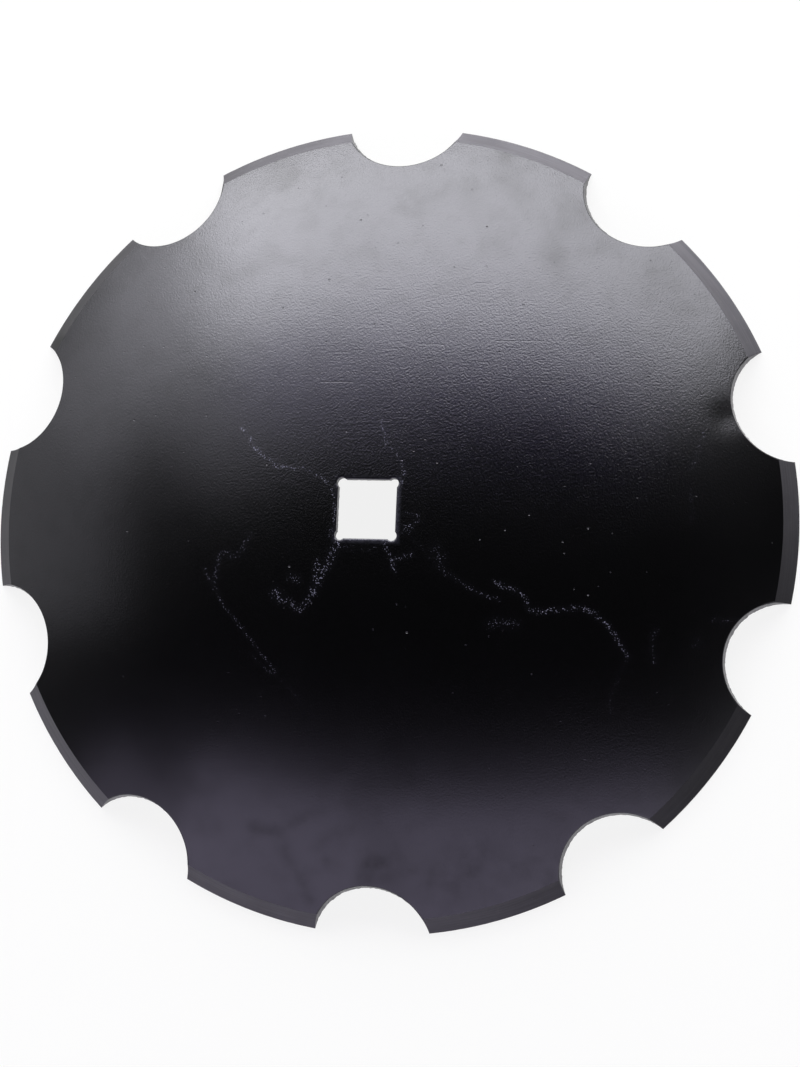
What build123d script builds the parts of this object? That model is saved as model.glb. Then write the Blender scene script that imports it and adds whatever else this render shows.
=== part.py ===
# Notched harrow disc blade: one steel plate, pressed into a shallow dish, with round notches in
# its rim, a sharpened edge on the lobes between them and a square hole for the gang shaft.
# Millimetres, +Z up. The blade lies as it comes to rest, on its rim with the rounded side up.
# The origin is in the middle of the circle that the rim rests on, and a notch faces +Y.

import os
from math import sqrt

from build123d import *

# Plate and dish
disc_diameter = 560.0
plate_thickness = 6.0
dish_depth = 78.0  # hollow side, from the rim's plane up to the centre

# Sharpened rim, ground on the rounded side
bevel_width = 10.0  # in plan, from the edge inwards
edge_land = 0.8  # blunt height that the grinding leaves at the edge

# Notches, punched along the axis of the disc
notch_count = 10
notch_radius = 41.5
notch_depth = 31.5  # from the edge of the disc to the bottom of the notch
notch_edge_break = 1.2  # broken edge on the rounded side, where the punch enters

# Square shaft hole with a round relief in each corner
hole_side = 39.7
relief_radius = 3.5
relief_reach = 1.1  # how far a relief passes the hole's sides
hole_edge_break = 0.8  # broken edge on the rounded side, where the shaft goes in

# Worked out from the sizes above
disc_radius = disc_diameter / 2
hollow_radius = (disc_radius**2 + dish_depth**2) / (2 * dish_depth)
back_radius = hollow_radius + plate_thickness
sphere_centre = dish_depth - hollow_radius
overall_height = dish_depth + plate_thickness
bevel_start = disc_radius - bevel_width
bevel_start_height = sphere_centre + sqrt(back_radius**2 - bevel_start**2)
notch_centre = disc_radius - notch_depth + notch_radius
relief_centre = hole_side / 2 + relief_reach - relief_radius


def back_edges(walls):
    """Edges where these walls meet the rounded side, which is the higher of the two spheres."""
    back = disc_blade.faces().filter_by(GeomType.SPHERE).sort_by(Axis.Z)[-1]
    return back.edges() & walls.edges()


with BuildPart() as disc_blade:
    # Half section of the dish, turned about the axis
    with BuildSketch(Plane.XZ):
        with BuildLine():
            RadiusArc((0, dish_depth), (disc_radius, 0), hollow_radius)
            Line((disc_radius, 0), (disc_radius, edge_land))
            Line((disc_radius, edge_land), (bevel_start, bevel_start_height))
            RadiusArc((bevel_start, bevel_start_height), (0, overall_height), -back_radius)
            Line((0, overall_height), (0, dish_depth))
        make_face()
    revolve(axis=Axis.Z)

    # Round notches through the rim
    with BuildSketch(Plane.XY):
        with PolarLocations(notch_centre, notch_count, start_angle=90):
            Circle(notch_radius)
    extrude(amount=overall_height, mode=Mode.SUBTRACT)
    notch_walls = disc_blade.faces(Select.LAST).filter_by(GeomType.CYLINDER)
    chamfer(back_edges(notch_walls), length=notch_edge_break)

    # Square hole, its corners relieved
    with BuildSketch(Plane.XY):
        Rectangle(hole_side, hole_side)
        with GridLocations(2 * relief_centre, 2 * relief_centre, 2, 2):
            Circle(relief_radius)
    extrude(amount=overall_height, mode=Mode.SUBTRACT)
    hole_walls = disc_blade.faces(Select.LAST)
    sides = hole_walls.filter_by(GeomType.PLANE)
    reliefs = hole_walls.filter_by(GeomType.CYLINDER)
    chamfer(back_edges(sides + reliefs), length=hole_edge_break)

disc_blade.part.label = "disc_blade"

os.makedirs("parts", exist_ok=True)
export_step(disc_blade.part, "parts/disc_blade.step")
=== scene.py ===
from math import acos, atan2, cos, pi, radians, sin, sqrt

import bpy
import numpy as np
from mathutils import Matrix, Vector, noise
from mathutils.geometry import delaunay_2d_cdt


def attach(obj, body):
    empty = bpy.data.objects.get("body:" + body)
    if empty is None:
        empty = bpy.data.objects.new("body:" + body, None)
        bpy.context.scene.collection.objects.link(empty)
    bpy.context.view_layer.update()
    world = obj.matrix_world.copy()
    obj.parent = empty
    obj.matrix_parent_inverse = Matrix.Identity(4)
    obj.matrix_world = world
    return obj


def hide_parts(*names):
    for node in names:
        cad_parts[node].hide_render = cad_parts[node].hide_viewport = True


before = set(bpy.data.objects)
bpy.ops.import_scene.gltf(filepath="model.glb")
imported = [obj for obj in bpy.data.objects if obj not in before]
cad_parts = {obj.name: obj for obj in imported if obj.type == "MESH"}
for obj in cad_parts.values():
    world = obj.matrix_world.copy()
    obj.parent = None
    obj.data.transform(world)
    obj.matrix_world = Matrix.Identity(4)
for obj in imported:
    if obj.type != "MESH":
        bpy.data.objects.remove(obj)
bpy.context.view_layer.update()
scene = bpy.context.scene
scene.view_settings.view_transform = "Standard"

# The blade's sizes, in millimetres, as its solid has them

RIM = 280.0
THICKNESS = 6.0
DISH = 78.0
BEVEL = 10.0
LAND = 0.8
NOTCHES = 10
NOTCH_RADIUS = 41.5
NOTCH_DEPTH = 31.5
HOLE_HALF = 19.85
RELIEF_RADIUS = 3.5
RELIEF_AT = 17.45

HOLLOW_RADIUS = (RIM**2 + DISH**2) / (2 * DISH)
BACK_RADIUS = HOLLOW_RADIUS + THICKNESS
CENTRE_Z = DISH - HOLLOW_RADIUS
CREASE = RIM - BEVEL
CREASE_Z = CENTRE_Z + sqrt(BACK_RADIUS**2 - CREASE**2)
NOTCH_AT = RIM - NOTCH_DEPTH + NOTCH_RADIUS

# Rolled edges on the rounded side: radius and how far round they turn
NOTCH_ROLL, HOLE_ROLL = 0.5, 0.9
ROLL_TURN = radians(72)
# The notch walls lean back by this much at their upper edge; the plan closes up within the margin
DRAFT = 1.1
MARGIN = 3.0
WALL_ROWS = 8


def cross(radius, reach):
    """Angle round a notch's centre at which a circle of this radius passes this far from the axis."""
    c = (NOTCH_AT**2 + radius**2 - reach**2) / (2 * NOTCH_AT * radius)
    return acos(max(-1.0, min(1.0, c)))


def notch_point(k, radius, psi):
    """A point at angle psi round notch k's centre, measured from the line to the axis."""
    a = pi / 2 + 2 * pi * k / NOTCHES
    x = NOTCH_AT - radius * cos(psi)
    y = radius * sin(psi)
    return x * cos(a) - y * sin(a), x * sin(a) + y * cos(a)


NOTCH_XY = np.array([[NOTCH_AT * cos(pi / 2 + 2 * pi * k / NOTCHES),
                      NOTCH_AT * sin(pi / 2 + 2 * pi * k / NOTCHES)] for k in range(NOTCHES)])


def from_notch(p):
    """How far each point is from the nearest notch wall, and the direction away from it."""
    v = p[:, None, :] - NOTCH_XY[None]
    r = np.hypot(v[..., 0], v[..., 1])
    k = r.argmin(1)
    i = np.arange(len(p))
    return r[i, k] - NOTCH_RADIUS, v[i, k] / r[i, k, None]


def from_hole(p):
    """How far each point is from the hole's wall, and the direction away from it."""
    q = np.abs(p)
    sign = np.where(p < 0, -1.0, 1.0)
    side = q.max(1) - HOLE_HALF
    to_relief = q - RELIEF_AT
    length = np.maximum(np.hypot(to_relief[:, 0], to_relief[:, 1]), 1e-9)
    relief = length - RELIEF_RADIUS
    flat = np.where((q[:, 0] > q[:, 1])[:, None], [1.0, 0.0], [0.0, 1.0])
    way = np.where((relief < side)[:, None], to_relief / length[:, None], flat)
    return np.minimum(side, relief), way * sign


def rolled(d, radius):
    """Drop of a rolled edge at distance d from the wall."""
    s = np.clip(radius * sin(ROLL_TURN) - d, 0, None)
    return radius - np.sqrt(np.maximum(radius**2 - s**2, 0))


def hollow_z(p):
    return CENTRE_Z + np.sqrt(HOLLOW_RADIUS**2 - np.minimum((p**2).sum(1), RIM**2))


def back_z(p, ground):
    """Height of the rounded side, or of the ground bevel, with the rolled edges."""
    rho = np.hypot(p[:, 0], p[:, 1])
    dome = CENTRE_Z + np.sqrt(BACK_RADIUS**2 - np.minimum(rho, RIM + 1) ** 2)
    cone = LAND + (RIM - rho) * (CREASE_Z - LAND) / BEVEL
    z = np.where(ground, cone, dome)
    share = np.clip((z - hollow_z(p)) / 5.0, 0.08, 1.0)
    z = z - DENT_DEPTH * np.exp(-((p[:, 0] - DENT_X) ** 2 + (p[:, 1] - DENT_Y) ** 2) / DENT_REACH**2)
    from_edge = from_notch(p)[0] - DRAFT * np.clip((RIM - rho) / BEVEL, 0, 1)
    return z - share * (rolled(from_edge, NOTCH_ROLL) + rolled(from_hole(p)[0], HOLE_ROLL))


def slopes(p, ground):
    """Unit normals of the rounded side."""
    h = 0.01
    gx = (back_z(p + [h, 0], ground) - back_z(p - [h, 0], ground)) / (2 * h)
    gy = (back_z(p + [0, h], ground) - back_z(p - [0, h], ground)) / (2 * h)
    n = np.c_[-gx, -gy, np.ones(len(p))]
    return n / np.linalg.norm(n, axis=1)[:, None]


# Stains: dried splashes that left a line of pale specks. Each has a width, a strength and a path.

STAINS = (
    (1.6, 0.75, ((-89, 53), (-80, 42), (-74, 36), (-68, 32), (-61, 28), (-45, 26), (-37, 23), (-25, 15))),
    (1.3, 0.70, ((7, 60), (12, 43), (21, 35), (24, 23), (22, 16))),
    (1.2, 0.40, ((1, 56), (7, 49))),
    (1.5, 0.25, ((27, -14), (37, -24), (45, -33))),
    (2.0, 0.35, ((47, -22), (54, -30))),
    (1.5, 0.65, ((47, -36), (55, -41), (63, -46), (70, -49), (77, -54), (89, -57))),
    (1.7, 0.90, ((87, -46), (92, -48), (101, -51), (106, -55), (109, -62), (116, -64), (126, -62),
                 (142, -61), (150, -63), (157, -68), (163, -75), (168, -83), (173, -90))),
    (1.4, 0.35, ((173, -90), (168, -102), (162, -117), (162, -126))),
    (1.8, 0.60, ((-79, -18), (-85, -27), (-90, -33), (-97, -30), (-102, -33), (-102, -39), (-103, -49))),
    (1.3, 0.60, ((-111, -41), (-99, -62), (-84, -80), (-74, -92), (-66, -101), (-59, -109))),
    (1.1, 0.45, ((-78, -97), (-68, -105), (-60, -112))),
    (1.1, 0.40, ((-55, -114), (-48, -121), (-42, -127))),
    (3.0, 0.80, ((-18, -23), (-24, -35), (-29, -44), (-35, -56))),
    (2.0, 0.95, ((-32, -36), (-35, -56), (-43, -67), (-51, -62), (-59, -59))),
    (1.8, 0.50, ((219, 70), (216, 58), (213, 44), (211, 38))),
    (1.3, 0.40, ((210, 22), (211, 5), (210, 0))),
    (1.6, 0.55, ((227, -63), (234, -63), (242, -62))),
    (1.6, 0.55, ((191, -72), (188, -80), (190, -92))),
    (1.6, 0.60, ((-24, 14), (-21, -2), (-24, -18))),
    (1.4, 0.60, ((25, -2), (31, -3), (35, -7), (28, -11), (24, -15))),
    (3.6, 0.80, ((-60, -57), (-58, -60))),
    (3.0, 0.60, ((-50, -46), (-46, -48))),
    (1.6, 0.70, ((14, -23), (18, -34), (20, -41))),
    (1.8, 0.60, ((18, -34), (24, -32), (32, -29))),
    (3.0, 0.30, ((-14, -25), (6, -26))),
    (3.6, 0.45, ((46, -26), (52, -34))),
    (3.4, 0.50, ((84, -72), (100, -73))),
    (3.0, 0.50, ((24, -12), (30, -13))),
    (3.0, 0.40, ((216, -78), (217, -80))),
)

# Smudges: soft marks of hands and oil, each with a width, a strength and a path
SMUDGES = (
    (5.0, 0.7, ((-78, -211), (-57, -216), (-55, -229), (-46, -243), (-40, -257))),
    (7.0, 0.4, ((-60, -218), (-50, -240))),
    (4.0, 0.4, ((-57, -216), (-47, -206), (-28, -199))),
    (4.5, 0.5, ((-34, -223), (-22, -213), (-10, -210))),
    (5.5, 0.9, ((1, -233), (12, -232))),
    (7.0, 0.5, ((2, -239), (14, -240))),
    (4.0, 0.5, ((43, -248), (45, -236), (54, -229), (66, -226))),
    (11.0, 0.7, ((55, -243), (68, -236))),
    (12.0, 0.6, ((80, -222), (97, -228), (112, -234))),
    (24.0, 0.5, ((66, -240), (118, -228))),
    (5.0, 0.5, ((-26, -233), (-20, -236))),
    (6.0, 0.4, ((-117, -215), (-103, -212))),
    (9.0, 0.4, ((13, 218), (25, 224), (44, 231))),
    (10.0, 0.3, ((64, 255), (80, 247))),
    (8.0, 0.3, ((-25, 177), (-13, 181))),
    (8.0, 0.3, ((110, 175), (125, 182), (140, 188))),
    (9.0, 0.4, ((180, 176), (194, 167))),
    (8.0, 0.3, ((-98, 231), (-81, 236))),
    (8.0, 0.3, ((-11, 262), (-4, 255))),
)

# A shallow dent beside a notch: place, reach and depth
DENT_X, DENT_Y, DENT_REACH, DENT_DEPTH = 232.0, 74.0, 9.5, 0.65

# Fine scores in the sheet, nearly along X
SCORES = (
    ((80, 117.2), (92, 117.6), (104, 118.2), (112, 118.0)),
    ((28, 113.0), (38, 113.4), (45, 113.2)),
    ((-6, 152.0), (0, 152.4), (7, 152.2)),
    ((62, 158.0), (68, 158.5), (73, 158.2)),
    ((-36, 86.0), (-25, 86.4), (-14, 86.0)),
)


def path(points, jitter, step=0.8):
    """A smooth line through the points, wandering a little."""
    p = np.array(points, float)
    if len(p) > 2:
        ends = np.vstack([2 * p[0] - p[1], p, 2 * p[-1] - p[-2]])
        t = np.linspace(0, 1, 8, endpoint=False)[:, None]
        runs = []
        for a, b, c, d in zip(ends[:-3], ends[1:-2], ends[2:-1], ends[3:]):
            runs.append(0.5 * (2 * b + (c - a) * t + (2 * a - 5 * b + 4 * c - d) * t**2
                               + (3 * b - a - 3 * c + d) * t**3))
        p = np.vstack(runs + [p[-1:]])
    length = np.r_[0, np.cumsum(np.hypot(*np.diff(p, axis=0).T))]
    s = np.arange(0, length[-1] + step, step)
    p = np.c_[np.interp(s, length, p[:, 0]), np.interp(s, length, p[:, 1])]
    return p + [[jitter * noise.noise(Vector((x * 0.22, y * 0.22, z))) for z in (3.0, 17.0)] for x, y in p]


def nearness(p, lines):
    """For each point, the largest of the lines' strengths, fading with distance from the line."""
    out = np.zeros(len(p))
    for width, strength, points in lines:
        margin = max(12.0, 2.6 * width)
        near = np.flatnonzero((p > points.min(0) - margin).all(1) & (p < points.max(0) + margin).all(1))
        if len(near) == 0:
            continue
        gap = p[near][:, None, :] - points[None]
        d2 = (gap**2).sum(2).min(1)
        out[near] = np.maximum(out[near], strength * np.exp(-d2 / width**2))
    return out


stain_lines = [(1.3 * w, min(1.0, 0.15 + s), path(pts, 1.6)) for w, s, pts in STAINS]
smudge_lines = [(w, s, path(pts, 1.5)) for w, s, pts in SMUDGES]
score_lines = [(0.35, 1.0, path(pts, 0.2)) for pts in SCORES]

# Plan of the plate: its outlines, rings that follow them, the crease of the bevel, and loose points

plan, plan_index, plan_edges = [], {}, []


def add_point(x, y):
    key = (round(x, 5), round(y, 5))
    if key not in plan_index:
        plan_index[key] = len(plan)
        plan.append((x, y))
    return plan_index[key]


def add_line(points, closed=False):
    ids = [add_point(*q) for q in points]
    if closed:
        ids.append(ids[0])
    plan_edges.extend((a, b) for a, b in zip(ids[:-1], ids[1:]) if a != b)


def spread(fixed, step):
    """The fixed values with evenly spread ones between them, about a step apart."""
    out = []
    for a, b in zip(fixed[:-1], fixed[1:]):
        n = max(1, round((b - a) / step))
        out.extend(a + (b - a) * i / n for i in range(n))
    return out + [fixed[-1]]


closing = 1 - DRAFT / MARGIN
notch_rings = [NOTCH_ROLL * (sin(ROLL_TURN) - sin(radians(t))) / closing for t in (72, 50, 27, 0)] + [1.6, MARGIN]
hole_rings = [HOLE_ROLL * (sin(ROLL_TURN) - sin(radians(t))) for t in (72, 54, 34, 14)] + [1.8]

for k in range(NOTCHES):
    for d in notch_rings:
        r = NOTCH_RADIUS + d
        tip, crease = cross(r, RIM), cross(r, CREASE)
        add_line([notch_point(k, r, psi) for psi in spread([-tip, -crease, crease, tip], 1.1 / r)])
    start, pitch = pi / 2 + 2 * pi * k / NOTCHES, 2 * pi / NOTCHES
    for reach in (RIM, CREASE):
        ends = []
        for d in notch_rings:
            r = NOTCH_RADIUS + d
            ends.append(acos((NOTCH_AT**2 + reach**2 - r**2) / (2 * NOTCH_AT * reach)))
        angles = spread([*ends, *[pitch - e for e in reversed(ends)]], 2.2 / reach)
        add_line([(reach * cos(start + a), reach * sin(start + a)) for a in angles])

for d in hole_rings:
    r, half = RELIEF_RADIUS + d, HOLE_HALF + d
    turn = acos((half - RELIEF_AT) / r)
    y = RELIEF_AT - r * sin(turn)
    quarter = [(half, v) for v in spread([-y, y], 1.6)]
    quarter += [(RELIEF_AT + r * cos(a), RELIEF_AT + r * sin(a))
                for a in spread([-turn, pi / 2 + turn], 0.8 / r)[1:-1]]
    loop = []
    for q in range(4):
        c, s = (1, 0, -1, 0)[q], (0, 1, 0, -1)[q]
        loop += [(x * c - v * s, x * s + v * c) for x, v in quarter]
    add_line(loop, closed=True)


def lattice(step):
    """Points of a triangular lattice over the plate."""
    rows = np.arange(-RIM, RIM, step * sqrt(3) / 2)
    cols = np.arange(-RIM, RIM, step)
    x, y = np.meshgrid(cols, rows)
    x = x + (np.arange(len(rows)) % 2)[:, None] * step / 2
    return np.c_[x.ravel(), y.ravel()]


def clear(p, gap):
    """The points that are this far inside all outlines and off the crease."""
    rho = np.hypot(p[:, 0], p[:, 1])
    keep = (rho < RIM - gap) & (from_notch(p)[0] > MARGIN + gap) & (from_hole(p)[0] > 1.8 + gap)
    return p[keep & (np.abs(rho - CREASE) > gap)]


random = np.random.default_rng(11)
coarse, medium = clear(lattice(5.0), 2.0), clear(lattice(2.2), 1.1)
fine, finest = clear(lattice(1.25), 0.7), clear(lattice(0.45), 0.4)
smudged = [(3.0 + 1.3 * w, 1.0, line) for w, _, line in smudge_lines if w < 10]
wide = [(2.0 + 1.3 * w, 1.0, line) for w, _, line in stain_lines]
scored = [(1.0, 1.0, line) for _, _, line in score_lines]
fine = fine[nearness(fine, wide) > 0.35]
finest = finest[nearness(finest, scored) > 0.35]
medium = medium[nearness(medium, smudged) > 0.35]
coarse = coarse[(nearness(coarse, wide + smudged) < 0.2) & (nearness(coarse, scored) < 0.2)]
for cloud, shake in ((coarse, 0.5), (medium, 0.2), (fine, 0.1), (finest, 0.03)):
    for x, y in cloud + random.uniform(-shake, shake, cloud.shape):
        add_point(x, y)

made = delaunay_2d_cdt([Vector(q) for q in plan], plan_edges, [], 0, 1e-7, False)
flat = np.array([(q[0], q[1]) for q in made[0]])
tris = np.array([t for t in made[2] if len(t) == 3])
middle = flat[tris].mean(1)
inside = (np.hypot(*middle.T) < RIM) & (from_notch(middle)[0] > 0) & (from_hole(middle)[0] > 0)
tris = tris[inside]
a, b, c = (flat[tris[:, i]] for i in range(3))
area = (b[:, 0] - a[:, 0]) * (c[:, 1] - a[:, 1]) - (b[:, 1] - a[:, 1]) * (c[:, 0] - a[:, 0])
tris = np.where((area < 0)[:, None], tris[:, ::-1], tris)[np.abs(area) > 1e-7]
used, tris = np.unique(tris, return_inverse=True)
tris = tris.reshape(-1, 3)
flat = flat[used]
count = len(flat)

# The plate: rounded side, hollow side and the walls between them

rho = np.hypot(flat[:, 0], flat[:, 1])
d_notch, away_notch = from_notch(flat)
d_hole, away_hole = from_hole(flat)


def rough(p, scale, seed):
    return np.array([noise.fractal(Vector((x * scale, y * scale, seed)), 0.9, 2.1, 3) for x, y in p])


def torn(p, d, away, depth, seed):
    """How far the torn lower part of a punched wall stands back, in plan, fading inwards."""
    near = np.flatnonzero(d < 2.9)
    out = np.zeros_like(p)
    q = p[near]
    rim = np.clip((RIM - np.hypot(q[:, 0], q[:, 1])) / 8.0, 0, 1)
    back = depth * (0.5 + 2.2 * rough(q, 0.5, seed)) * rim
    fade = np.clip(1 - np.maximum(d[near], 0) / 3.0, 0, 1) ** 2
    out[near] = away[near] * (np.clip(back, -0.3, 0.5) * fade)[:, None]
    return out


def drafted(p, rho, d, away):
    """The plan of the rounded side: the notch edges stand back, the rim and the crease stay."""
    back = DRAFT * np.clip(1 - np.maximum(d, 0) / MARGIN, 0, 1) * np.clip((RIM - rho) / BEVEL, 0, 1)
    q = p + away * back[:, None]
    hold = np.clip((rho - CREASE + 8) / 8, 0, 1)
    reach = np.hypot(q[:, 0], q[:, 1])
    return q * ((hold * rho + (1 - hold) * reach) / np.maximum(reach, 1e-9))[:, None]


low = flat + torn(flat, d_notch, away_notch, 0.16, 5.0) + torn(flat, d_hole, away_hole, 0.12, 9.0)
high = drafted(flat, rho, d_notch, away_notch)
top = np.c_[high, back_z(high, rho > CREASE)]
bottom = np.c_[low, hollow_z(low)]
edge_d = np.minimum(d_notch, d_hole)
burr = 0.22 * np.exp(-np.maximum(edge_d, 0) / 0.35) * np.clip((RIM - rho) / 10, 0, 1)
lip = np.flatnonzero(edge_d < 1.5)
bottom[lip, 2] -= burr[lip] * np.clip(0.6 + 1.2 * rough(flat[lip], 0.5, 2.0), 0, 1.4)
bottom[:, 2] = np.maximum(bottom[:, 2], 0.0)

# Tiny nicks in the sharp edge
edge = np.flatnonzero(rho > RIM - 0.01)
nick = 0.10 * np.clip(rough(flat[edge], 0.25, 31.0), 0, 1)
for pts in (top, bottom):
    pts[edge, :2] *= (1 - nick / RIM)[:, None]

directed = {(int(t[i]), int(t[(i + 1) % 3])) for t in tris for i in range(3)}
border = [(u, v) for u, v in directed if (v, u) not in directed]
border.sort()
on_wall = sorted({u for e in border for u in e})
wall_row = {u: i for i, u in enumerate(on_wall)}
walls = []
ends_t, ends_b, ends = top[on_wall], bottom[on_wall], flat[on_wall]
for j in range(1, WALL_ROWS):
    s = j / WALL_ROWS
    tear = np.clip((s - 0.3) / 0.3, 0, 1) ** 2
    row = ends_t + (ends_b - ends_t) * s
    row[:, :2] = ends + (ends_t[:, :2] - ends) * (1 - s) + (ends_b[:, :2] - ends) * tear
    pits = np.array([noise.noise(Vector((x * 0.9, y * 0.9, z * 0.9))) for x, y, z in row])
    free = np.clip((RIM - rho[on_wall]) / 8.0, 0, 1)
    away = np.where((d_notch[on_wall] < d_hole[on_wall])[:, None], away_notch[on_wall], away_hole[on_wall])
    row[:, :2] += away * (np.clip(0.16 * pits + 0.05, 0, 0.3) * tear * free)[:, None]
    walls.append(row)

verts = np.vstack([top, bottom, *walls])
n_wall = len(on_wall)


def wall_vertex(u, j):
    if j == 0:
        return u
    if j == WALL_ROWS:
        return u + count
    return 2 * count + (j - 1) * n_wall + wall_row[u]


faces = [tuple(int(i) for i in t) for t in tris]
faces += [tuple(int(i) + count for i in t[::-1]) for t in tris]
n_side = len(faces)
for u, v in border:
    for j in range(WALL_ROWS):
        faces.append((wall_vertex(u, j), wall_vertex(u, j + 1), wall_vertex(v, j + 1), wall_vertex(v, j)))

PAINT, GROUND, CUT = 0, 1, 2
middle = flat[tris].mean(1)
ground_tri = np.hypot(*middle.T) > CREASE
slots = [GROUND if g else PAINT for g in ground_tri] + [PAINT] * len(tris)
for u, v in border:
    lobe = rho[u] > RIM - 0.01 and rho[v] > RIM - 0.01
    slots += [GROUND if lobe else CUT] * WALL_ROWS

mesh = bpy.data.meshes.new("blade_plate")
mesh.from_pydata((verts * 0.001).tolist(), [], faces)
mesh.polygons.foreach_set("material_index", slots)
mesh.polygons.foreach_set("use_smooth", [True] * len(faces))

pairs = np.zeros(len(mesh.edges) * 2, int)
mesh.edges.foreach_get("vertices", pairs)
pairs = pairs.reshape(-1, 2)
sharp_pairs = {(min(u, v), max(u, v)) for u, v in border}
sharp_pairs |= {(u + count, v + count) for u, v in sharp_pairs}
is_sharp = [(min(u, v), max(u, v)) in sharp_pairs for u, v in pairs.tolist()]
mesh.attributes.new("sharp_edge", "BOOLEAN", "EDGE").data.foreach_set("value", is_sharp)

plain, bevelled = slopes(high, np.zeros(count, bool)), slopes(high, np.ones(count, bool))
under = -np.c_[bottom[:, :2], bottom[:, 2] - CENTRE_Z]
under /= np.linalg.norm(under, axis=1)[:, None]
corner = [np.where(ground_tri[:, None, None], bevelled[tris], plain[tris]).reshape(-1, 3)]
corner += [under[tris[:, ::-1]].reshape(-1, 3), np.zeros((len(border) * WALL_ROWS * 4, 3))]
mesh.normals_split_custom_set(np.vstack(corner).tolist())


def give(name, values):
    layer = mesh.attributes.new(name, "FLOAT", "POINT")
    layer.data.foreach_set("value", np.asarray(values, np.float32))


# Painted light on the bevel: it shows lighter, as bare grey, most towards this direction and the one across from it,
# where the lamps light it, and stays black at the sides
PAINTED_LIGHT_TOWARDS = radians(70)
thinning_and_painted_light = 0.65 + 0.5 * np.cos(2 * (np.arctan2(flat[:, 1], flat[:, 0]) - PAINTED_LIGHT_TOWARDS))
# A small black mark at the rim's edge, where the bevel stays black
drip = np.hypot(flat[:, 0] + 243, flat[:, 1] - 124)
thinning_and_painted_light = np.where(drip < 9, thinning_and_painted_light * np.clip((drip - 5) / 4, 0, 1), thinning_and_painted_light)

rest = np.zeros(len(verts) - 2 * count)
# The bevel's painted light, with the black mark, goes on as an attribute
give("thinning_and_painted_light", np.r_[thinning_and_painted_light, thinning_and_painted_light, np.tile(thinning_and_painted_light[on_wall], WALL_ROWS - 1)])
give("stain", np.r_[nearness(flat, stain_lines), np.zeros(count), rest])
give("smudge", np.r_[nearness(flat, smudge_lines), np.zeros(count), rest])
give("score", np.r_[nearness(flat, score_lines), np.zeros(count), rest])
side_edge = np.clip(1 - np.maximum(np.minimum(edge_d, 3.0), 0) / 3.0, 0, 1)
give("worn", np.r_[side_edge, side_edge, rest + 1])

blade = bpy.data.objects.new("blade_plate", mesh)
scene.collection.objects.link(blade)

# Materials


class Nodes:
    """A short hand for building a material's nodes."""

    def __init__(self, name):
        self.material = bpy.data.materials.new(name)
        self.material.use_nodes = True
        self.tree = self.material.node_tree
        self.shader = self.tree.nodes["Principled BSDF"]
        self.where = self.tree.nodes.new("ShaderNodeTexCoord").outputs["Object"]

    def node(self, kind, inputs=(), **settings):
        made = self.tree.nodes.new(kind)
        for name, value in settings.items():
            setattr(made, name, value)
        for key, value in dict(inputs).items():
            if isinstance(value, bpy.types.NodeSocket):
                self.tree.links.new(value, made.inputs[key])
            else:
                made.inputs[key].default_value = value
        return made

    def scaled(self, x, y, z):
        return self.node("ShaderNodeMapping", {"Vector": self.where, "Scale": (x, y, z)}).outputs[0]

    def noise(self, scale, detail=2.0, roughness=0.5, stretch=None, distortion=0.0):
        at = self.scaled(*stretch) if stretch else self.where
        return self.node("ShaderNodeTexNoise", {"Vector": at, "Scale": scale, "Detail": detail,
                                                "Roughness": roughness, "Distortion": distortion}).outputs[0]

    def cells(self, scale, stretch=None):
        at = self.scaled(*stretch) if stretch else self.where
        made = self.node("ShaderNodeTexVoronoi", {"Vector": at, "Scale": scale})
        return made.outputs["Distance"], made.outputs["Color"]

    def pits(self, stretch, share, inner, outer):
        """Small round marks in this share of the cells: 1 inside a mark, 0 outside."""
        distance, colour = self.cells(1.0, stretch)
        pick = self.node("ShaderNodeSeparateColor", {0: colour}).outputs[0]
        mark = self.ramp(distance, inner, outer, 1.0, 0.0)
        return self.math("MULTIPLY", mark, self.ramp(pick, 1 - share, 1 - 0.8 * share))

    def math(self, kind, a, b=0.0, c=0.0, clamp=False):
        return self.node("ShaderNodeMath", {0: a, 1: b, 2: c}, operation=kind, use_clamp=clamp).outputs[0]

    def ramp(self, value, lo, hi, out_lo=0.0, out_hi=1.0):
        return self.node("ShaderNodeMapRange", {0: value, 1: lo, 2: hi, 3: out_lo, 4: out_hi},
                         interpolation_type="SMOOTHSTEP").outputs[0]

    def attribute(self, name):
        return self.node("ShaderNodeAttribute", attribute_name=name).outputs["Fac"]

    def mix(self, share, a, b):
        return self.node("ShaderNodeMix", {0: share, 6: a, 7: b}, data_type="RGBA").outputs[2]

    def bump(self, height, distance, under=None):
        inputs = {"Height": height, "Distance": distance, "Strength": 1.0}
        if under:
            inputs["Normal"] = under
        return self.node("ShaderNodeBump", inputs).outputs[0]

    def put(self, **values):
        for name, value in values.items():
            key = name.replace("_", " ")
            if isinstance(value, bpy.types.NodeSocket):
                self.tree.links.new(value, self.shader.inputs[key])
            else:
                self.shader.inputs[key].default_value = value
        return self.material


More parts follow.
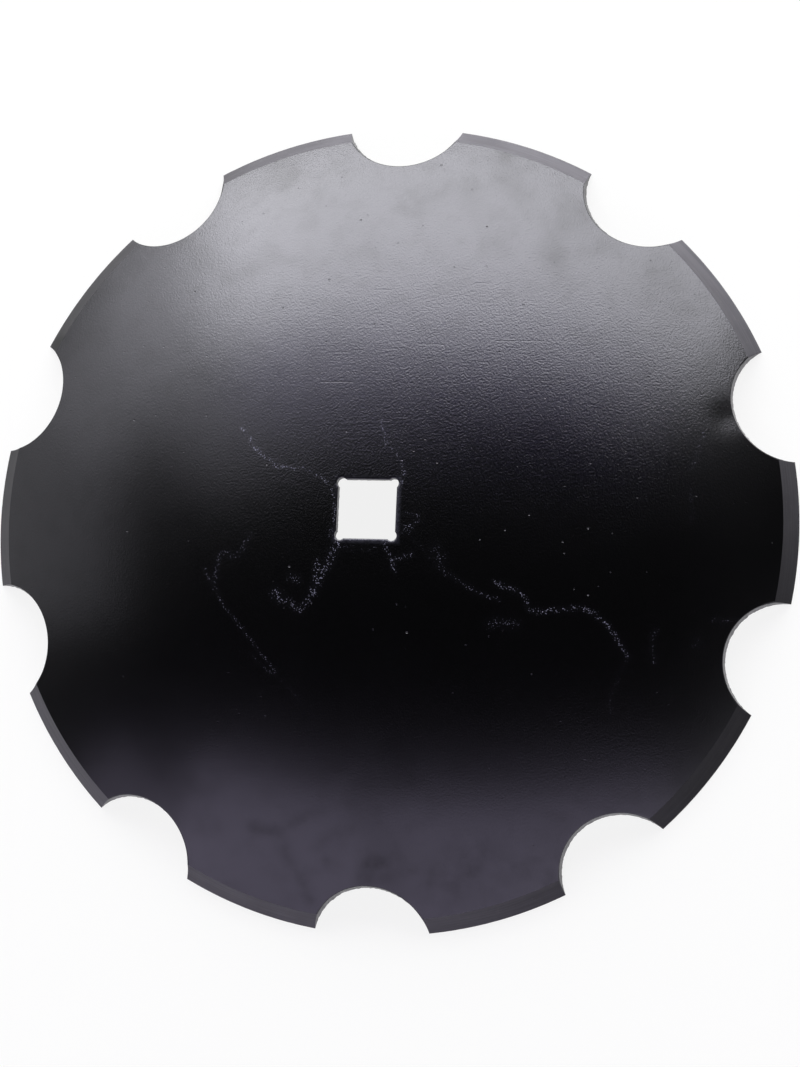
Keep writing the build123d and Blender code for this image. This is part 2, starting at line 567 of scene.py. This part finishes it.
def paint():
    """Semi-gloss black paint over rolled sheet: ripple, orange peel, pits, pale specks and stains."""
    n = Nodes("blade_black_paint")
    across, along = n.node("ShaderNodeSeparateXYZ", {0: n.where}).outputs[:2]
    ripple = n.noise(1.0, 2.0, 0.6, stretch=(950, 760, 700))
    wave = n.noise(13.0, 0.0)
    height = n.math("SUBTRACT", ripple, n.math("MULTIPLY", n.pits((60, 90, 60), 0.35, 0.03, 0.06), 1.4))
    height = n.math("SUBTRACT", height, n.math("MULTIPLY", n.pits((130, 170, 130), 0.20, 0.06, 0.11), 0.6))
    swell = n.math("MULTIPLY", n.ramp(along, -0.18, -0.12, 0.30, 1.0), n.ramp(along, -0.10, 0.05, 0.65, 1.14))
    for start, end, low, high in ((-0.19, 0.04, 0.4, 1.0), (0.17, 0.24, 1.0, 0.42)):
        swell = n.math("MULTIPLY", swell, n.ramp(across, start, end, low, high))
    height = n.math("MULTIPLY", height, swell)
    height = n.math("SUBTRACT", height, n.math("MULTIPLY", n.attribute("score"), 0.35))
    fine = n.bump(height, 0.00021)
    slow = n.bump(wave, 0.00030, fine)

    stain = n.attribute("stain")
    grains = n.cells(860.0)[0]
    thinning_and_painted_light = n.noise(330.0, 2.0, 0.6)
    lot = n.math("MULTIPLY", stain, n.ramp(thinning_and_painted_light, 0.22, 0.60, 0.35, 1.0))
    salt = n.math("MULTIPLY", n.math("SUBTRACT", n.math("MULTIPLY", lot, 0.46), grains), 6.0, clamp=True)
    film = n.math("MULTIPLY", lot, 0.012)
    dust = n.pits((280, 280, 280), 0.004, 0.05, 0.12)
    pale = n.math("MAXIMUM", n.math("MAXIMUM", salt, film), n.math("MULTIPLY", dust, 0.05))
    # A pale film on the sheet round the hole, most of it to the right and below
    off_axis = n.math("MAXIMUM", n.math("ABSOLUTE", across), n.math("ABSOLUTE", along))
    ring = n.ramp(off_axis, 0.0197, 0.0242, 0.16, 0.0)
    ring = n.math("MULTIPLY", ring, n.ramp(n.math("SUBTRACT", across, along), -0.012, 0.016, 0.25, 1.0))
    ring = n.math("MULTIPLY", ring, n.ramp(thinning_and_painted_light, 0.25, 0.65, 0.45, 1.15))
    pale = n.math("MAXIMUM", pale, ring)
    cloud = n.noise(9.0, 4.0, 0.6, distortion=0.8)
    black = n.mix(n.ramp(cloud, 0.35, 0.7), (0.0003, 0.0003, 0.0004, 1), (0.0005, 0.0005, 0.0006, 1))
    colour = n.mix(pale, black, (0.18, 0.18, 0.25, 1))

    # Handling has dulled the gloss in patches: clouds towards the rim, and the smudges
    towards_rim = n.ramp(n.math("ABSOLUTE", along), 0.09, 0.17)
    smear = n.ramp(n.noise(19.0, 1.0, 0.5, stretch=(1.0, 0.8, 1.0), distortion=0.7), 0.50, 0.74)
    smear = n.math("MULTIPLY", smear, towards_rim)
    rough = n.ramp(cloud, 0.3, 0.7, 0.165, 0.18)
    rough = n.math("ADD", rough, n.math("MULTIPLY", pale, 0.5), clamp=True)
    # Where there is less ripple, the paint itself is as much rougher
    rough = n.math("ADD", rough, n.ramp(swell, 0.2, 1.0, 0.065, 0.0))
    level = n.math("SUBTRACT", 0.5, n.math("MULTIPLY", smear, 0.09))
    level = n.math("SUBTRACT", level, n.ramp(n.noise(60.0, 4.0, 0.65), 0.44, 0.70, 0.0, 0.06))
    broken = n.ramp(n.noise(90.0, 3.0, 0.6), 0.30, 0.65, 0.08, 0.21)
    level = n.math("SUBTRACT", level, n.math("MULTIPLY", n.attribute("smudge"), broken))
    # At a flat angle the fine grain of the sheet breaks the gloss up
    gloss = n.ramp(n.node("ShaderNodeLayerWeight", {"Blend": 0.5}).outputs["Facing"], 0.30, 0.70, 1.0, 0.0)
    level = n.math("MULTIPLY", level, gloss)
    return n.put(Base_Color=colour, Roughness=rough, IOR=1.60, Specular_IOR_Level=level,
                 Specular_Tint=(0.86, 0.84, 1.0, 1), Coat_Weight=n.math("MULTIPLY", gloss, 0.5), Coat_Roughness=0.28,
                 Coat_IOR=1.5, Coat_Normal=slow, Normal=slow)


def ground():
    """The bevel: the same paint over a ground surface, flatter and a little rougher, with painted light as bare grey
    where the lamps light it.
    """
    n = Nodes("blade_bevel_paint")
    reach = n.node("ShaderNodeVectorMath", {0: n.where}, operation="LENGTH").outputs["Value"]
    place = n.node("ShaderNodeSeparateXYZ", {0: n.where}).outputs
    rings = n.node("ShaderNodeCombineXYZ", {"X": n.math("MULTIPLY", reach, 1300.0), "Y": n.math("MULTIPLY", place["X"], 22.0),
                                            "Z": n.math("MULTIPLY", place["Y"], 22.0)}).outputs[0]
    grinding = n.node("ShaderNodeTexNoise", {"Vector": rings, "Scale": 1.0, "Detail": 2.0}).outputs[0]
    grain = n.noise(420.0, 2.0, 0.6)
    cloud = n.noise(30.0, 3.0, 0.6)
    worn = n.ramp(n.noise(260.0, 3.0, 0.65), 0.60, 0.72)
    # Painted light: the bare grey shows where the bevel is painted lighter, towards the top and the bottom of the
    # rim
    thinning_and_painted_light = n.attribute("thinning_and_painted_light")
    shade = n.math("ADD", n.ramp(cloud, 0.3, 0.7, 0.0, 0.4), n.ramp(grinding, 0.3, 0.7, 0.0, 0.6))
    bare = n.mix(shade, (0.105, 0.101, 0.115, 1), (0.150, 0.145, 0.164, 1))
    colour = n.mix(thinning_and_painted_light, (0.0015, 0.0015, 0.002, 1), bare)
    # The worn specks show only where the bevel is painted lighter
    worn = n.math("MULTIPLY", n.math("MULTIPLY", worn, 0.25), thinning_and_painted_light)
    colour = n.mix(worn, colour, (0.17, 0.16, 0.16, 1))
    rough = n.ramp(cloud, 0.3, 0.7, 0.40, 0.46)
    height = n.math("ADD", grain, grinding)
    return n.put(Base_Color=colour, Roughness=rough, IOR=1.22, Specular_Tint=(0.97, 0.94, 1.0, 1),
                 Normal=n.bump(height, 0.00002))


def cut():
    """Punched walls: smooth where they sheared, torn and grainy where they broke, thinly painted."""
    n = Nodes("blade_cut_wall")
    streak = n.noise(1.0, 2.0, 0.6, stretch=(500, 500, 45))
    torn_grain = n.noise(900.0, 4.0, 0.7)
    cloud = n.noise(120.0, 3.0, 0.6)
    colour = n.mix(n.ramp(cloud, 0.35, 0.65), (0.09, 0.088, 0.095, 1), (0.16, 0.157, 0.165, 1))
    rough = n.ramp(torn_grain, 0.3, 0.7, 0.36, 0.55)
    height = n.math("ADD", n.math("MULTIPLY", streak, 0.6), torn_grain)
    return n.put(Base_Color=colour, Roughness=rough, IOR=1.65, Normal=n.bump(height, 0.00008))


for material in (paint(), ground(), cut()):
    mesh.materials.append(material)

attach(blade, "root")
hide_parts("disc_blade")

# Floor: pale, white where the camera sees it lit, and it keeps the blade's shadow

floor_mesh = bpy.data.meshes.new("floor")
far = 20.0
floor_mesh.from_pydata([(-far, -far, -0.0002), (far, -far, -0.0002), (far, far, -0.0002), (-far, far, -0.0002)],
                       [], [(0, 1, 2, 3)])
floor = bpy.data.objects.new("floor", floor_mesh)
scene.collection.objects.link(floor)


def background_rays(tree):
    """1 for camera, glossy and transmission rays, 0 for the rest."""
    rays = tree.nodes.new("ShaderNodeLightPath").outputs
    total = rays["Is Camera Ray"]
    for name in ("Is Glossy Ray", "Is Transmission Ray"):
        add = tree.nodes.new("ShaderNodeMath")
        add.operation = "MAXIMUM"
        tree.links.new(total, add.inputs[0])
        tree.links.new(rays[name], add.inputs[1])
        total = add.outputs[0]
    return total


pale = bpy.data.materials.new("pale_floor")
pale.use_nodes = True
tree = pale.node_tree
tree.nodes.clear()
diffuse = tree.nodes.new("ShaderNodeBsdfDiffuse")
diffuse.inputs["Color"].default_value = (0.90, 0.90, 0.90, 1)
glow = tree.nodes.new("ShaderNodeEmission")
share = tree.nodes.new("ShaderNodeMath")
share.operation = "MULTIPLY"
tree.links.new(background_rays(tree), share.inputs[0])
centre = tree.nodes.new("ShaderNodeVectorMath")
centre.operation = "LENGTH"
tree.links.new(tree.nodes.new("ShaderNodeTexCoord").outputs["Object"], centre.inputs[0])
whiter = tree.nodes.new("ShaderNodeMapRange")
whiter.interpolation_type = "SMOOTHSTEP"
tree.links.new(centre.outputs["Value"], whiter.inputs[0])
for i, value in enumerate((0.3, 1.6, 0.86, 1.0)):
    whiter.inputs[1 + i].default_value = value
tree.links.new(whiter.outputs[0], share.inputs[1])
mixed = tree.nodes.new("ShaderNodeMixShader")
tree.links.new(share.outputs[0], mixed.inputs[0])
tree.links.new(diffuse.outputs[0], mixed.inputs[1])
tree.links.new(glow.outputs[0], mixed.inputs[2])
out = tree.nodes.new("ShaderNodeOutputMaterial")
tree.links.new(mixed.outputs[0], out.inputs[0])
floor_mesh.materials.append(pale)

# World: a dim room, with the pale backdrop at the horizon

world = bpy.data.worlds.new("studio")
scene.world = world
world.use_nodes = True
tree = world.node_tree
tree.nodes.clear()
ray_dir = tree.nodes.new("ShaderNodeTexCoord").outputs["Generated"]
split = tree.nodes.new("ShaderNodeSeparateXYZ")
tree.links.new(ray_dir, split.inputs[0])
band = tree.nodes.new("ShaderNodeMapRange")
band.interpolation_type = "SMOOTHSTEP"
tree.links.new(split.outputs["Z"], band.inputs[0])
for i, value in enumerate((0.0, 0.04, 1.0, 0.0)):
    band.inputs[1 + i].default_value = value
low = tree.nodes.new("ShaderNodeMath")
low.operation = "MULTIPLY"
tree.links.new(background_rays(tree), low.inputs[0])
tree.links.new(band.outputs[0], low.inputs[1])
share = tree.nodes.new("ShaderNodeMath")
share.operation = "MAXIMUM"
tree.links.new(low.outputs[0], share.inputs[0])
tree.links.new(tree.nodes.new("ShaderNodeLightPath").outputs["Is Camera Ray"], share.inputs[1])
tone = tree.nodes.new("ShaderNodeMix")
tone.data_type = "RGBA"
tree.links.new(share.outputs[0], tone.inputs[0])
tone.inputs[6].default_value = (0.004, 0.004, 0.004, 1)
tone.inputs[7].default_value = (1, 1, 1, 1)
back = tree.nodes.new("ShaderNodeBackground")
tree.links.new(tone.outputs[2], back.inputs[0])
out = tree.nodes.new("ShaderNodeOutputWorld")
tree.links.new(back.outputs[0], out.inputs[0])


# Softboxes: direction from the blade, size in metres, and how bright their faces are


def softbox(name, azimuth, elevation, width, height, brightness, tint=(1, 1, 1), distance=3.5):
    data = bpy.data.lights.new(name, "AREA")
    data.shape = "RECTANGLE"
    data.size, data.size_y = width, height
    data.energy = brightness * pi * width * height
    data.color = tint
    lamp = bpy.data.objects.new(name, data)
    a, e = radians(azimuth), radians(elevation)
    way = Vector((cos(e) * cos(a), cos(e) * sin(a), sin(e)))
    lamp.location = way * distance
    lamp.rotation_euler = way.to_track_quat("Z", "Y").to_euler()
    lamp.visible_camera = False
    scene.collection.objects.link(lamp)


softbox("key", 87.5, 29.5, 5.8, 2.75, 5.25, tint=(0.99, 1.0, 0.965))
softbox("key_edge", 90, 57, 4.4, 0.8, 0.12, tint=(0.6, 0.1, 3.2))
softbox("key_side", 113, 33, 4.5, 3.9, 1.05)
softbox("left", 141, 21, 2.4, 1.5, 1.15)
softbox("low_left", 174, 18, 1.7, 2.1, 0.52)
softbox("front", 268, 34, 5.6, 2.0, 1.0, tint=(1.03, 0.95, 1.18))
softbox("front_left", 219, 19, 1.2, 1.1, 0.62, tint=(1.03, 0.95, 1.18))
softbox("right", 318, 20, 4.0, 1.6, 0.5)

# Camera, at the photograph's angle

camera_data = bpy.data.cameras.new("camera")
camera_data.sensor_width = 36.0
camera_data.lens = 98.82
camera_data.clip_start, camera_data.clip_end = 0.05, 60.0
camera = bpy.data.objects.new("camera", camera_data)
camera.location = (0.38764, -0.25522, 1.96472)
camera.rotation_euler = (radians(7.588), radians(10.639), radians(2.518))
scene.collection.objects.link(camera)
scene.camera = camera

bpy.context.view_layer.update()
